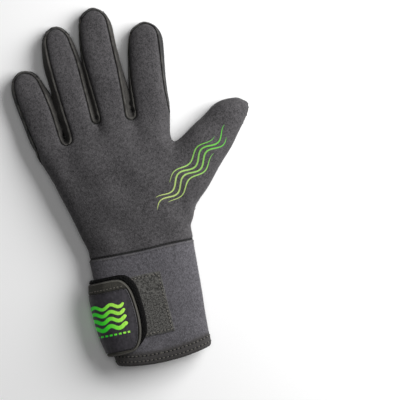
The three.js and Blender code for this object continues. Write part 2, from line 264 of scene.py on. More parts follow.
# Follows the line where a surface meets a cut, from a start to a stop or round to the start
def followLine(surface, cut, grid, start, ahead, stop=None, step=0.9, most=3000):
    cut = np.broadcast_to(cut, grid["counts"])
    points, lifts = [], []
    point, heading = np.array(start, float), np.array(ahead, float)
    closed = False
    while len(points) < most:
        for _ in range(3):
            lift, side = slope(surface, grid, point), slope(cut, grid, point)
            off = np.array([sample(surface, grid, point), sample(cut, grid, point)])
            point = point - np.linalg.pinv(np.array([lift, side])) @ off
        if stop and stop(point):
            break
        if len(points) > 20 and np.linalg.norm(point - points[0]) < 0.8 * step:
            closed = True
            break
        points.append(point)
        lifts.append(lift / np.linalg.norm(lift))
        along = np.cross(lift, side)
        along *= np.sign(along @ heading) / np.linalg.norm(along)
        heading = along
        point = point + along * step
    return {"points": np.array(points), "lifts": np.array(lifts), "closed": closed}


def bothWays(surface, cut, grid, start, ahead, stop):
    forth = followLine(surface, cut, grid, start, ahead, stop)
    back = followLine(surface, cut, grid, start, [-a for a in ahead], stop)
    joined = {key: np.vstack([back[key][:0:-1], forth[key]]) for key in ("points", "lifts")}
    return {**joined, "closed": False}


# Rings of a thin tube along a line, sunk under the surface by sink
def tubeRings(line, radius, sides, sink=0.0):
    points, lifts = line["points"], line["lifts"]
    if line["closed"]:
        ahead = np.roll(points, -1, axis=0) - np.roll(points, 1, axis=0)
    else:
        ahead = np.gradient(points, axis=0)
    ahead /= np.linalg.norm(ahead, axis=1)[:, None]
    aside = np.cross(ahead, lifts)
    angle = 2 * np.pi * np.arange(sides) / sides
    ring = np.cos(angle)[None, :, None] * lifts[:, None] + np.sin(angle)[None, :, None] * aside[:, None]
    return (points - sink * lifts)[:, None] + radius * ring


# Distance in space to some lines, each taken as a very thin tube
def lineField(lines, grid, band, thin=0.05, sides=3):
    points, triangles, first = [], [], 0
    for line in lines:
        points.append(tubeRings(line, thin, sides).reshape(-1, 3))
        triangles += halves(tubeQuads(len(line["points"]), line["closed"], sides, first))
        first += len(points[-1])
    return np.abs(meshField(points, triangles, grid, band)) + thin


# Largest connected body of a quad mesh, smoothed without shrinking
def cleanQuads(points, quads, rounds):
    edges = np.sort(np.vstack([quads[:, [i, (i + 1) % 4]] for i in range(4)]), axis=1)
    edges = np.unique(edges, axis=0).astype(np.int64)
    group = np.arange(len(points))
    while True:
        least = np.minimum(group[edges[:, 0]], group[edges[:, 1]])
        fresh = group.copy()
        np.minimum.at(fresh, edges[:, 0], least)
        np.minimum.at(fresh, edges[:, 1], least)
        fresh = fresh[fresh]
        if np.array_equal(fresh, group):
            break
        group = fresh
    names, sizes = np.unique(group, return_counts=True)
    keep = group == names[np.argmax(sizes)]
    number = np.cumsum(keep) - 1
    quads = number[quads[keep[quads[:, 0]]]]
    edges = number[edges[keep[edges[:, 0]]]]
    points = points[keep].astype(float)
    degree = np.bincount(edges.ravel(), minlength=len(points))[:, None]
    for _ in range(rounds):
        for weight in (0.5, -0.52):
            total = np.zeros_like(points)
            for axis in range(3):
                total[:, axis] = np.bincount(edges[:, 0], points[edges[:, 1], axis], len(points))
                total[:, axis] += np.bincount(edges[:, 1], points[edges[:, 0], axis], len(points))
            points = points + weight * (total / degree - points)
    return points, quads


def newMesh(name, points, faces):
    mesh = bpy.data.meshes.new(name)
    mesh.vertices.add(len(points))
    mesh.vertices.foreach_set("co", points.astype(np.float32).ravel())
    mesh.loops.add(faces.size)
    mesh.loops.foreach_set("vertex_index", faces.astype(np.int32).ravel())
    mesh.polygons.add(len(faces))
    starts = np.arange(0, faces.size, faces.shape[1], dtype=np.int32)
    mesh.polygons.foreach_set("loop_start", starts)
    mesh.shade_smooth()
    mesh.update(calc_edges=True)
    mesh.validate()
    return mesh


def inFrame(points):
    return (np.asarray(points, float) - (boxMiddle[0], boxMiddle[1], 0)) * mm


def addObject(name, data, material=None):
    made = bpy.data.objects.new(name, data)
    bpy.context.scene.collection.objects.link(made)
    if material:
        data.materials.append(material)
    return made


# Marks are fields whose values go along as attributes, such as the depth in the cloth
def clothPiece(name, field, grid, material, marks=None, rounds=3):
    field = np.ascontiguousarray(field, np.float32)
    for axis in range(3):
        edge = [slice(None)] * 3
        for end in (0, -1):
            edge[axis] = end
            field[tuple(edge)] = np.maximum(field[tuple(edge)], grid["step"])
    volume = openvdb.FloatGrid(1e3)
    volume.copyFromArray(field)
    volume.transform = grid["move"]
    points, quads = volume.convertToQuads(0)
    points, quads = cleanQuads(points, quads.astype(np.int64), rounds)
    a, b, c, d = (points[quads[:, i]] for i in range(4))
    volumeSum = np.einsum("ij,ij->i", a, np.cross(b, c) + np.cross(c, d)).sum()
    if volumeSum < 0:
        quads = quads[:, ::-1]
    piece = addObject(name, newMesh(name, inFrame(points), quads), material)
    for key, values in (marks or {}).items():
        mark = piece.data.attributes.new(key, "FLOAT", "POINT")
        values = np.broadcast_to(values, grid["counts"])
        mark.data.foreach_set("value", sample(values, grid, points).astype(np.float32))
    print(f"{name}: {2 * len(quads)} triangles, {abs(volumeSum) / 6000:.1f} cm3")


# Node trees, for finishes and for what repeats


def enabled(sockets, key):
    if isinstance(key, int):
        return sockets[key]
    return next(socket for socket in sockets if socket.enabled and socket.name == key)


# Makes a node and hands back one of its outputs, or those that out lists
def addNode(tree, kind, inputs=None, out=0, **settings):
    made = tree.nodes.new(kind)
    for key, value in settings.items():
        setattr(made, key, value)
    for key, value in (inputs or {}).items():
        socket = enabled(made.inputs, key)
        if isinstance(value, bpy.types.NodeSocket):
            tree.links.new(value, socket)
        else:
            socket.default_value = value
    if isinstance(out, list):
        return [enabled(made.outputs, key) for key in out]
    return enabled(made.outputs, out)


def calc(operation, *values):
    tree = next(value.id_data for value in values if isinstance(value, bpy.types.NodeSocket))
    return addNode(tree, "ShaderNodeMath", dict(enumerate(values)), operation=operation)


def chain(operation, *values):
    return reduce(partial(calc, operation), values)


times, plus, strongest = (partial(chain, kind) for kind in ("MULTIPLY", "ADD", "MAXIMUM"))
minus, over, below = (partial(calc, kind) for kind in ("SUBTRACT", "DIVIDE", "LESS_THAN"))


def ramp(value, low, high):
    inputs = {"Value": value, "From Min": low, "From Max": high}
    return addNode(value.id_data, "ShaderNodeMapRange", inputs, interpolation_type="SMOOTHSTEP")


def srgb(colour):
    shares = [c / 255 for c in colour]
    return tuple(c / 12.92 if c < 0.0405 else ((c + 0.055) / 1.055) ** 2.4 for c in shares) + (1,)


def blend(share, first, second):
    inputs = {"Factor": share, "A": first, "B": second}
    return addNode(share.id_data, "ShaderNodeMix", inputs, "Result", data_type="RGBA")


def tones(share, dark, light):
    return blend(share, srgb(dark), srgb(light))


def noise(place, size, detail=2.0):
    inputs = {"Vector": place, "Scale": 1 / (size * mm), "Detail": detail}
    return addNode(place.id_data, "ShaderNodeTexNoise", inputs)


def cells(place, size):
    return addNode(place.id_data, "ShaderNodeTexVoronoi", {"Vector": place, "Scale": 1 / (size * mm)})


def stretched(place, scale):
    return addNode(place.id_data, "ShaderNodeMapping", {"Vector": place, "Scale": scale})


def toShader(value, key="Base Color"):
    tree = value.id_data
    tree.links.new(value, tree.nodes["Principled BSDF"].inputs[key])


def bump(height, strength, size):
    inputs = {"Height": height, "Strength": strength, "Distance": size * mm}
    toShader(addNode(height.id_data, "ShaderNodeBump", inputs), "Normal")


def newMaterial(name, look):
    material = bpy.data.materials.new(name)
    material.use_nodes = True
    for key, value in look.items():
        material.node_tree.nodes["Principled BSDF"].inputs[key].default_value = value
    return material, material.node_tree


def placeOf(tree):
    return addNode(tree, "ShaderNodeTexCoord", out="Object")


def markOf(tree, name):
    return addNode(tree, "ShaderNodeAttribute", out="Fac", attribute_name=name)


# Millimetres along and across a line in plan, from a start in the tables' frame, and up
def planAxes(tree, start, degrees=0.0):
    x, y, z = addNode(tree, "ShaderNodeSeparateXYZ", {0: placeOf(tree)}, [0, 1, 2])
    x = calc("MULTIPLY_ADD", x, 1 / mm, boxMiddle[0] - start[0])
    y = calc("MULTIPLY_ADD", y, 1 / mm, boxMiddle[1] - start[1])
    c, s = math.cos(math.radians(degrees)), math.sin(math.radians(degrees))
    return plus(times(x, c), times(y, s)), minus(times(y, c), times(x, s)), times(z, 1 / mm)


# One printed wave line: 1 on the ink
def waveLine(along, across, row):
    rate = 2 * math.pi / row["length"]
    turn = plus(times(along, rate), row["phase"])
    off = plus(times(calc("SINE", turn), row["swing"]), row["offset"])
    lean = times(calc("COSINE", turn), row["swing"] * rate)
    away = over(calc("ABSOLUTE", minus(across, off)), calc("SQRT", plus(times(lean, lean), 1.0)))
    ends = calc("MINIMUM", minus(along, row["start"]), minus(row["end"], along))
    taper = calc("SQRT", addNode(along.id_data, "ShaderNodeClamp", {0: over(ends, row["taper"])}))
    inside = minus(times(taper, row["wide"] / 2), away)
    return times(ramp(inside, -0.1, 0.1), calc("GREATER_THAN", ends, 0.0))


# Finishes

knitLook = {
    "streak": 0.6,  # width of a heather streak, which runs twice as long
    "mottle": 2.2,
    "cloud": 24.0,
    "shares": (0.6, 0.3, 0.1),  # of these three in the colour
    "heather": (0.32, 0.68),
    "loop": 0.6,
    "heights": (0.8, 0.7),  # of streaks and loops
    "bump": (0.7, 0.22),
    "foam": (9, 9, 10),
    "foamFrom": (0.3, 0.46),  # shares of the wall
    "lining": (44, 44, 47),
    "liningFrom": (0.86, 0.95),
    "shader": {
        "Roughness": 0.92,
        "Specular IOR Level": 0.25,
        "Sheen Weight": 0.06,
        "Sheen Roughness": 0.5,
    },
}
seamLook = {
    "groove": (0.35, 0.95),  # painted shade in the seam's groove: dark up to the first distance from the seam, plain from the second on
    "grooveShade": (9, 9, 10),
    # the raised edge beside a seam, where it rises, is full, falls and ends; it carries a painted
    # highlight, made patchy by noise
    "ridge": (0.9, 1.4, 1.9, 2.8),
    "ridgeHighlight": (98, 96, 92),
    "ridgeBump": 1.6,
    "ridgeVaries": 7.0,
    "highlightPatches": (0.33, 0.67),
}
inkLook = {"wear": 0.8, "patchy": (0.12, 0.42), "soaks": 0.2}  # it soaks into a share of the wall


# Colour and height of the cloth near its seams: painted shade in the groove, and a painted highlight with
# a bump on the raised edge beside it
def besideSeams(place, colour, height, ridgeShare):
    tree = place.id_data
    away = ramp(markOf(tree, "seam"), *seamLook["groove"])
    colour = blend(away, srgb(seamLook["grooveShade"]), colour)
    if ridgeShare:
        rise, full, fall, end = seamLook["ridge"]
        reach = markOf(tree, "ridge")
        band = times(ramp(reach, rise, full), ramp(reach, end, fall))
        # noise makes the painted highlight on the ridge patchy
        patchy = ramp(noise(place, seamLook["ridgeVaries"], 3.0), *seamLook["highlightPatches"])
        colour = blend(times(band, patchy, ridgeShare), colour, srgb(seamLook["ridgeHighlight"]))
        height = plus(times(band, seamLook["ridgeBump"]), height)
    return colour, height


# Heathered knit over foam, whose dark core and lining show where the cloth is cut
def jersey(name, dark, light, sewn=True, ridgeShare=0.0):
    material, tree = newMaterial(name, knitLook["shader"])
    place = placeOf(tree)
    streaks = noise(stretched(place, (1, 0.5, 1)), knitLook["streak"], 3.0)
    mottle = noise(place, knitLook["mottle"], 3.0)
    cloud = noise(place, knitLook["cloud"], 1.0)
    heather = plus(*map(times, (streaks, mottle, cloud), knitLook["shares"]))
    colour = tones(ramp(heather, *knitLook["heather"]), dark, light)
    height = minus(*map(times, (streaks, cells(place, knitLook["loop"])), knitLook["heights"]))
    # near its seams the cloth takes painted shade and a painted highlight
    if sewn:
        colour, height = besideSeams(place, colour, height, ridgeShare)
    bump(height, *knitLook["bump"])
    depth = markOf(tree, "depth")
    colour = blend(ramp(depth, *knitLook["foamFrom"]), colour, srgb(knitLook["foam"]))
    colour = blend(ramp(depth, *knitLook["liningFrom"]), colour, srgb(knitLook["lining"]))
    toShader(colour)
    return material, colour


def printed(colour, ink, mask):
    tree = colour.id_data
    patchy = ramp(noise(placeOf(tree), inkLook["wear"]), *inkLook["patchy"])
    onFace = below(markOf(tree, "depth"), inkLook["soaks"])
    toShader(blend(times(mask, patchy, onFace), colour, ink))


handPrint = {
    "start": (19, 28),
    "degrees": 34.3,
    "length": 84.0,
    "colours": ((178, 194, 118), (86, 176, 62)),
    "lines": table(
        "offset swing length phase start end taper wide",
        (7.6, 2.2, 26.0, 0.5, 22.0, 72.0, 18.0, 1.0),
        (3.4, 2.9, 26.0, 0.2, 6.0, 84.0, 18.0, 1.2),
        (-0.8, 2.9, 26.0, -0.1, 0.0, 78.0, 18.0, 1.2),
        (-5.0, 2.2, 26.0, -0.4, 10.0, 62.0, 18.0, 1.0),
    ),
}


def backFinish():
    material, colour = jersey("charcoal_jersey", (42, 41, 42), (87, 85, 87))
    along, across, up = planAxes(colour.id_data, handPrint["start"], handPrint["degrees"])
    mask = strongest(*[waveLine(along, across, row) for row in handPrint["lines"]])
    ink = tones(ramp(along, 0.0, handPrint["length"]), *handPrint["colours"])
    printed(colour, ink, mask)
    return material


labelPrint = {
    "start": (-48.0, -46.5),
    "film": ((40, 38, 43), (58, 55, 61)),
    "tabEnd": 27.0,
    "palmEnd": 43.0,
    "tabOnlyAbove": 15.0,
    "colours": ((50, 252, 44), (186, 255, 88)),
    "gradient": (4.0, 26.0),
    "waves": table(
        "offset swing length phase start taper wide",
        (8.6, 1.3, 13.0, 0.0, -60.0, 1.4, 2.5),
        (3.4, 1.3, 13.0, 0.5, -60.0, 1.4, 2.7),
        (-2.0, 1.3, 13.0, 1.0, -60.0, 1.5, 2.9),
        (-7.6, 1.3, 13.0, 1.5, -60.0, 1.6, 3.1),
    ),
    "dashY": -13.4,
    "dashWide": 1.4,
    "dashPitch": 3.6,
    "dashShare": 0.62,
}


# Dark printed film with soft creases
def labelFinish():
    material, tree = newMaterial("label_film", {"Roughness": 0.62})
    place = placeOf(tree)
    film = tones(ramp(noise(place, 2.6, 3.0), 0.3, 0.7), *labelPrint["film"])
    along, across, up = planAxes(tree, labelPrint["start"])
    onTab = calc("GREATER_THAN", up, labelPrint["tabOnlyAbove"])
    reach = plus(times(onTab, labelPrint["tabEnd"] - labelPrint["palmEnd"]), labelPrint["palmEnd"])
    marks = [waveLine(along, across, {**row, "end": reach}) for row in labelPrint["waves"]]
    dash = below(calc("FRACT", over(along, labelPrint["dashPitch"])), labelPrint["dashShare"])
    fromLine = calc("ABSOLUTE", minus(across, labelPrint["dashY"]))
    marks.append(times(dash, below(fromLine, labelPrint["dashWide"] / 2), below(along, reach)))
    shade = ramp(plus(times(across, 0.35), along), *labelPrint["gradient"])
    printed(film, tones(shade, *labelPrint["colours"]), strongest(*marks))
    creases = noise(stretched(place, (1, 0.3, 1)), 4.0)
    bump(plus(times(noise(place, 0.5), 0.25), creases), 0.5, 0.4)
    return material


# Woven tape set with tiny hooks
hookLook = {"pitch": 1.1, "shows": (0.1, 0.6), "tones": ((15, 15, 15), (4, 4, 4)), "bump": (0.9, 0.5)}


def hookFinish():
    material, tree = newMaterial("hook_tape", {"Roughness": 0.7, "Specular IOR Level": 0.12})
    hooks = cells(placeOf(tree), hookLook["pitch"])
    toShader(tones(ramp(hooks, *hookLook["shows"]), *hookLook["tones"]))
    bump(minus(1.0, hooks), *hookLook["bump"])
    return material


edgeLook = {
    "pipeFrom": (0.5, 0.9),
    # painted highlight colour along the strap's piping
    "pipe": (92, 90, 85),
    "hemFrom": (-12.5, -8.5),  # from the hem's edge
    "hem": ((26, 25, 23), (63, 60, 55)),
    "hemShare": 0.75,
}


# Strap cloth with a painted highlight along its piped edge
def strapFinish():
    material, colour = jersey("strap_jersey", (48, 47, 43), (68, 66, 61), sewn=False)
    pipeHighlight = ramp(markOf(colour.id_data, "pipe"), *edgeLook["pipeFrom"])
    toShader(blend(pipeHighlight, colour, srgb(edgeLook["pipe"])))
    return material


# Cuff cloth, browner and darker where its hem is turned
def cuffFinish():
    material, colour = jersey("cuff_jersey", (58, 57, 60), (99, 97, 102), ridgeShare=0.4)
    turned = ramp(markOf(colour.id_data, "hem"), *edgeLook["hemFrom"])
    brown = tones(noise(placeOf(colour.id_data), 0.7, 3.0), *edgeLook["hem"])
    toShader(blend(times(turned, edgeLook["hemShare"]), colour, brown))
    return material


# Finishes of one grain: its size and detail, the part of its range that shows, and its bump
plainFinishes = table(
    "name size detail low high dark light strength bump rough sheen",
    ("loop_pile", 1.1, 5.0, 0.34, 0.66, (36, 35, 33), (89, 88, 85), 0.9, 0.5, 1.0, 0.25),
    ("grip_rubber", 1.6, 2.0, 0.35, 0.7, (92, 92, 93), (118, 118, 119), 0.0, 0.1, 0.5, 0.0),
    ("seam_glue", 0.35, 2.0, 0.35, 0.65, (5, 5, 6), (12, 12, 12), 0.4, 0.1, 0.7, 0.0),
    ("dark_thread", 0.35, 2.0, 0.35, 0.65, (16, 16, 17), (34, 34, 35), 0.4, 0.1, 0.7, 0.0),
    ("brown_grey_thread", 0.35, 2.0, 0.35, 0.65, (90, 87, 80), (124, 119, 111), 0.4, 0.1, 0.7, 0.0),
    ("hem_thread", 0.35, 2.0, 0.35, 0.65, (72, 69, 64), (108, 104, 96), 0.4, 0.1, 0.7, 0.0),
)


def plainFinish(row):
    material, tree = newMaterial(row["name"], {"Roughness": row["rough"], "Sheen Weight": row["sheen"]})
    grain = noise(placeOf(tree), row["size"], row["detail"])
    toShader(tones(ramp(grain, row["low"], row["high"]), row["dark"], row["light"]))
    bump(grain, row["strength"], row["bump"])
    return material


backKnit = backFinish()
palmKnit = jersey("palm_jersey", (30, 30, 31), (50, 50, 51), ridgeShare=0.6)[0]
gussetKnit = jersey("gusset_jersey", (42, 41, 40), (64, 62, 59), ridgeShare=0.6)[0]
cuffKnit = cuffFinish()
strapKnit = strapFinish()
hookTape = hookFinish()
labelFilm = labelFinish()
loopPile, gripRubber, seamGlue, darkThread, brownThread, hemThread = map(plainFinish, plainFinishes)
print("finishes mixed")


# Glove body: one soft skin, cut along its seams

# Fingers, a row per section: silhouette, seams on the back, height
fingers = {
    "index": table(
        "y left right seamLeft seamRight top",
        (75, 15, 38.8, 18.6, 44, 24.5),
        (100, 15.9, 45.5, 19.6, 44.8, 23.5),
        (115, 17.0, 46.6, 20.4, 45, 22),
        (130, 18.7, 48.6, 21.3, 45.9, 21),
        (145, 21.9, 50.6, 23.0, 47.4, 20),
        (158, 24.9, 51.9, 25.8, 48.5, 19),
        (166, 27.3, 49.6, 30.5, 46.5, 17),
        (170.6, 31.4, 45.4, 34.4, 43.0, 13.5),
        (172.8, 36.8, 41.8, 38.5, 40.7, 9.5),
    ),
    "middle": table(
        "y left right seamLeft seamRight top",
        (75, -11, 14.6, -7.6, 10.6, 24.5),
        (103, -11.7, 16.2, -7.9, 10.9, 23.5),
        (120, -12.6, 18, -8.8, 11.7, 22),
        (140, -13.1, 16.4, -10.2, 12.4, 21),
        (160, -12.4, 15.5, -11.2, 12.2, 20),
        (175, -10.8, 15.9, -9.6, 12.2, 18.5),
        (184, -9.2, 13.7, -6.2, 9.9, 16),
        (189.3, -5.4, 9.7, -2.7, 7.2, 12.5),
        (192.2, 0.6, 5.2, 2.0, 4.2, 9.5),
    ),
    "ring": table(
        "y left right seamLeft seamRight top",
        (75, -38, -11.6, -32.6, -15.2, 24.5),
        (100, -39.3, -11.6, -33, -15.3, 23),
        (120, -41.1, -12.5, -34.9, -16, 21.5),
        (140, -42.5, -13.3, -36.4, -16.8, 20.5),
        (155, -43, -14.6, -37.1, -17.5, 19.5),
        (168, -41.9, -16.4, -37.2, -19.3, 18),
        (176, -40.1, -18.4, -36.0, -22.8, 16),
        (181.6, -35.9, -22.2, -32.6, -25.9, 12.5),
        (184.3, -31.5, -26.4, -30.2, -28, 9.5),
    ),
    "little": table(
        "y left right seamLeft seamRight top",
        (68, -54, -37, -54, -41.6, 23.5),
        (91, -63.0, -38.2, -61.6, -42.2, 22.5),
        (105, -66.6, -38.9, -64.3, -43.8, 21),
        (120, -69.5, -40.6, -66.7, -45.2, 20),
        (132, -71.1, -42.2, -68.4, -47.2, 19),
        (142, -71.6, -46.0, -68.9, -49.4, 17.5),
        (149, -69.8, -48.9, -67.4, -52.8, 15),
        (153.6, -66, -52.9, -63.6, -57, 12),
        (155.4, -62.6, -57.8, -61.4, -59.4, 9.5),
    ),
}

tipRow = 5  # above this row a finger's seam turns round its tip

# Bottoms of the seams between two fingers
crotches = {
    "index_middle": {"thumbSide": "index", "littleSide": "middle", "y": 99.5},
    "middle_ring": {"thumbSide": "middle", "littleSide": "ring", "y": 102.5},
    "ring_little": {"thumbSide": "ring", "littleSide": "little", "y": 91},
}

hand = {
    "rows": table(
        "y left right top base",
        (-6, -40.7, 41.6, 26.8, 1.4),
        (0.15, -40.8, 41.7, 27, 1.2),
        (10, -41.0, 42.0, 28, 0.4),
        (20, -43.4, 45, 29, 0),
        (35, -46.9, 46, 30, 0),
        (50, -50.1, 46, 30.5, 0),
        (65, -54.6, 45, 30, 0),
        (77, -59.3, 41.2, 28.5, 0),
        (85, -61.9, 39.6, 27, 0),
        (89, -60.3, 40.2, 26, 0),
        (94, -41, 41, 23.5, 0),
        (98, -33, 37, 20.5, 1),
        (103, -26, 26, 16.5, 3),
        (106, -19, 4, 12.5, 5),
    ),
    "fingerBlend": 5.0,
    "thumbBlend": 3.6,
}

thumb = table(
    "rightX rightY leftX leftY top",
    (27, 8, 20, 70, 23),
    (43, 13, 39.5, 74.4, 26.5),
    (50.7, 24.6, 46.9, 76.9, 26.2),
    (63, 37.5, 54, 81.2, 25),
    (74, 49.8, 62, 86.8, 23.5),
    (84, 60.8, 71, 92.2, 22),
    (92, 70.6, 79, 97.4, 20.5),
    (98.3, 77.6, 86, 99.7, 19),
    (103, 84, 93, 100.1, 16.5),
    (105.6, 88.6, 99.4, 99.3, 13),
    (106.2, 92.2, 104.2, 96, 9.5),
    (106.4, 93.3, 105.5, 95.1, 8.6),
)

handGrid = makeGrid((-77, -4.5, -3), (111, 198, 36), cloth["voxel"])

# Soft hollows and creases of the lying cloth, by their middle in plan
folds = table(
    "x y turn length wide rise",
    (14.5, 86, 88, 16, 7, -0.8),
    (-13.5, 87, 92, 17, 8, -0.6),
    (-38, 77, 98, 16, 7, -1.0),
    (46, 46, 72, 22, 7, -1.0),
    (36, 70, 35, 14, 6, 0.7),
    (10, 60, 100, 30, 12, 0.5),
    (-24, 56, 95, 26, 10, -0.5),
    (-42, 24, 105, 20, 7, 0.5),
    (-30, 5, 172, 22, 4, -0.5),
    (22, 7, 8, 20, 4, -0.45),
    (-41, 117, 60, 4, 1.5, 0.5),
    (-39, 109, 115, 4, 1.4, -0.8),
    (-41, 103, 50, 4, 1.5, 0.4),
    (-39.5, 97, 120, 3.5, 1.4, -0.6),
    (-11.1, 107.6, 0, 2.8, 2.8, 0.8),
    (-11.1, 107.6, 0, 1.4, 1.4, -2.6),
    (17.2, 110, 0, 2.6, 2.6, 0.6),
    (17.6, 107, 0, 1.4, 1.4, -2.2),
    (16.2, 112.5, 0, 1.3, 1.3, -1.6),
    (-38.2, 96.5, 100, 3.5, 1.5, -2.2),
)
unevenness = {"size": 17.0, "rise": 0.22, "waves": 7, "seed": 12, "from": 4.0, "full": 12.0}


# How far the upper cloth stands off its smooth form
def foldedRise(grid):
    px, py, pz = grid["x"], grid["y"], grid["z"]
    rise = np.zeros((grid["counts"][0], grid["counts"][1], 1), np.float32)
    for row in folds:
        c, s = math.cos(math.radians(row["turn"])), math.sin(math.radians(row["turn"]))
        along = (px - row["x"]) * c + (py - row["y"]) * s
        across = (py - row["y"]) * c - (px - row["x"]) * s
        away = (along / row["length"]) ** 2 + (across / row["wide"]) ** 2
        rise = rise + row["rise"] * np.exp(-away)
    draw = np.random.default_rng(unevenness["seed"])
    for _ in range(unevenness["waves"]):
        kx, ky = draw.normal(size=2) / unevenness["size"] * 2
        phase = draw.uniform(0, 2 * math.pi)
        rise = rise + unevenness["rise"] * np.sin(kx * px + ky * py + phase)
    low, high = unevenness["from"], unevenness["full"]
    return rise * np.clip((pz - low) / (high - low), 0, 1)


def gloveSkin(grid, band=9.0):
    body = tubeField(hand["rows"], grid, band)
    body = softMin(body, tubeField(thumb, grid, band), hand["thumbBlend"])
    tubes = [softMin(body, tubeField(rows, grid, band), hand["fingerBlend"]) for rows in fingers.values()]
    floor = cloth["floorClear"] - grid["z"]
    return softMax(merged(body, *tubes) - foldedRise(grid), floor, cloth["floorRound"])


def seamSide(name, side, above):
    return [(row[side], row["y"]) for row in fingers[name][: tipRow + 1] if row["y"] > above]


# The seam up one side of a finger, round its tip and down the other
def fingerSeam(name, aboveRight, aboveLeft):
    start, end = fingers[name][tipRow], fingers[name][-1]
    half = (start["seamRight"] - start["seamLeft"]) / 2
    middle = (start["seamRight"] + start["seamLeft"]) / 2
    shift = (end["left"] + end["right"]) / 2 - middle
    rise = end["y"] - cloth["seamInset"] - start["y"]
    tip = []
    for angle in np.radians([25, 48, 70, 90, 110, 132, 155]):
        c, s = math.cos(angle), math.sin(angle)
        tip.append((middle + half * c + shift * s, start["y"] + rise * s))
    return seamSide(name, "seamRight", aboveRight) + tip + seamSide(name, "seamLeft", aboveLeft)[::-1]


def seamAt(name, side, y):
    return float(np.interp(y, [row["y"] for row in fingers[name]], [row[side] for row in fingers[name]]))


# The round bottom of a seam between two fingers, from the thumb's side to the little finger's
def crotchBottom(crotch, widen=0.0):
    low, above = crotch["y"] - widen, crotch["y"] + 5
    right = seamAt(crotch["thumbSide"], "seamLeft", above) + widen
    left = seamAt(crotch["littleSide"], "seamRight", above) - widen
    middle, half = (left + right) / 2, (right - left) / 2
    turns = np.radians(np.arange(0, 181, 30))
    return [(middle + half * math.cos(a), low + half * (1 - math.sin(a))) for a in turns]


# The seam of the back panel, from the thumb's side of the hand over the four fingers
fingerRuns = table(
    "name aboveRight aboveLeft",
    ("index", 105, 108),
    ("middle", 110, 110),
    ("ring", 110, 101),
    ("little", 100, 95),
)
seamEnds = ([(46.4, 84), (45.2, 95)], [(-61.9, 94), (-61.3, 86), (-61.2, 80), (-63, 74), (-67, 67)])


def backOutline():
    run = list(seamEnds[0])
    bottoms = [crotchBottom(crotch) for crotch in crotches.values()] + [seamEnds[1]]
    for row, bottom in zip(fingerRuns, bottoms):
        run += fingerSeam(**row) + bottom
    around = [(52, -10), (75, 30), (120, 80), (112, 108), (70, 104), (50, 88)]
    return around + curveThrough(run) + [(-70, 60), (-60, -10)]


# A gusset reaches under the back panel's edge, so that the back panel alone sets the seam there
gusset = {"under": 1.4, "from": 6, "tipIn": 3, "tipOut": 3, "endIn": 9, "endUp": 4}


def gussetOutline(crotch):
    edges = []
    for side, seam, out in (("littleSide", "seamRight", -1), ("thumbSide", "seamLeft", 1)):
        rows = seamSide(crotch[side], seam, crotch["y"] + gusset["from"])
        edge = [(x + out * gusset["under"], y) for x, y in rows]
        tip = (edge[-1][0] + out * gusset["tipOut"], fingers[crotch[side]][-1]["y"] - gusset["tipIn"])
        edges.append(edge + [tip])
    left, right = edges
    smooth = curveThrough(left[::-1] + crotchBottom(crotch, gusset["under"])[::-1] + right)
    ends = [(right[-1], -gusset["endIn"]), (left[-1], gusset["endIn"])]
    return smooth + [(x + shift, y + gusset["endUp"]) for (x, y), shift in ends]


# How far past the wrist seam, which bows a little
def pastWrist(grid, shift):
    return grid["y"] + shift - np.interp(grid["x"], *cloth["wristBow"]).astype(np.float32)


skin = gloveSkin(handGrid)
print("skin shaped")

halfGap = cloth["seamGap"] / 2
wristSide = pastWrist(handGrid, -halfGap)
backRegion = outlineField(backOutline(), handGrid)
backRegion = softMax(backRegion, cloth["splitHeight"] - handGrid["z"], cloth["splitRound"])

# Near a fingertip a gusset ends in a slant under it
tipSlant = {"near": 12, "from": 30, "back": 9, "steep": 0.8, "height": 8}
gussetRegions = {}
for name, crotch in crotches.items():
    plan = outlineField(gussetOutline(crotch), handGrid)
    for finger in (crotch["thumbSide"], crotch["littleSide"]):
        end = fingers[finger][-1]
        atTip = np.abs(handGrid["x"] - (end["left"] + end["right"]) / 2) < tipSlant["near"]
        atTip = atTip & (handGrid["y"] > end["y"] - tipSlant["from"])
        slant = handGrid["y"] - (end["y"] - tipSlant["back"])
        slant = slant - tipSlant["steep"] * (handGrid["z"] - tipSlant["height"])
        plan = np.where(atTip, common(plan, slant), plan)
    gussetRegions[name] = common(plan, -backRegion)
palmRegion = -merged(backRegion, *gussetRegions.values())

# The seams, each a line on the skin
meetsBack = lambda p: sample(backRegion, handGrid, p) < cloth["meeting"]
start = (41, 1, cloth["splitHeight"])
backSeamLine = followLine(skin, backRegion, handGrid, start, (0, 1, 0), lambda p: p[1] < 0.3)
wristLine = followLine(skin, wristSide, handGrid, (0, -0.4, 27), (1, 0, 0))
gussetLines = []
for name, crotch in crotches.items():
    start = (*crotchBottom(crotch, gusset["under"])[3], cloth["floorClear"])
    gussetLines.append(bothWays(skin, -gussetRegions[name], handGrid, start, (1, 0, 0), meetsBack))
for line in [backSeamLine, wristLine] + gussetLines:
    print(f"seam of {len(line['points'])} steps, closed {line['closed']}")


# Cloth drawn in on both sides of a seam, like the edge of a cushion
def drawnIn(surface, reach, depth, wide=cloth["seamWide"]):
    near = np.clip(1 - reach / wide, 0, 1)
    soft, sharp = cloth["cushion"]
    return surface + depth * (soft * (1 - np.sqrt(1 - near * near)) + sharp * near ** 3)


# Turned edge that stands up beside a seam, on the side where aside is above zero
def ridged(surface, reach, aside, high):
    rise = np.exp(-(((reach - cloth["ridgeAt"]) / cloth["ridgeWide"]) ** 2))
    return surface - high * rise * np.clip(aside, 0, 1)


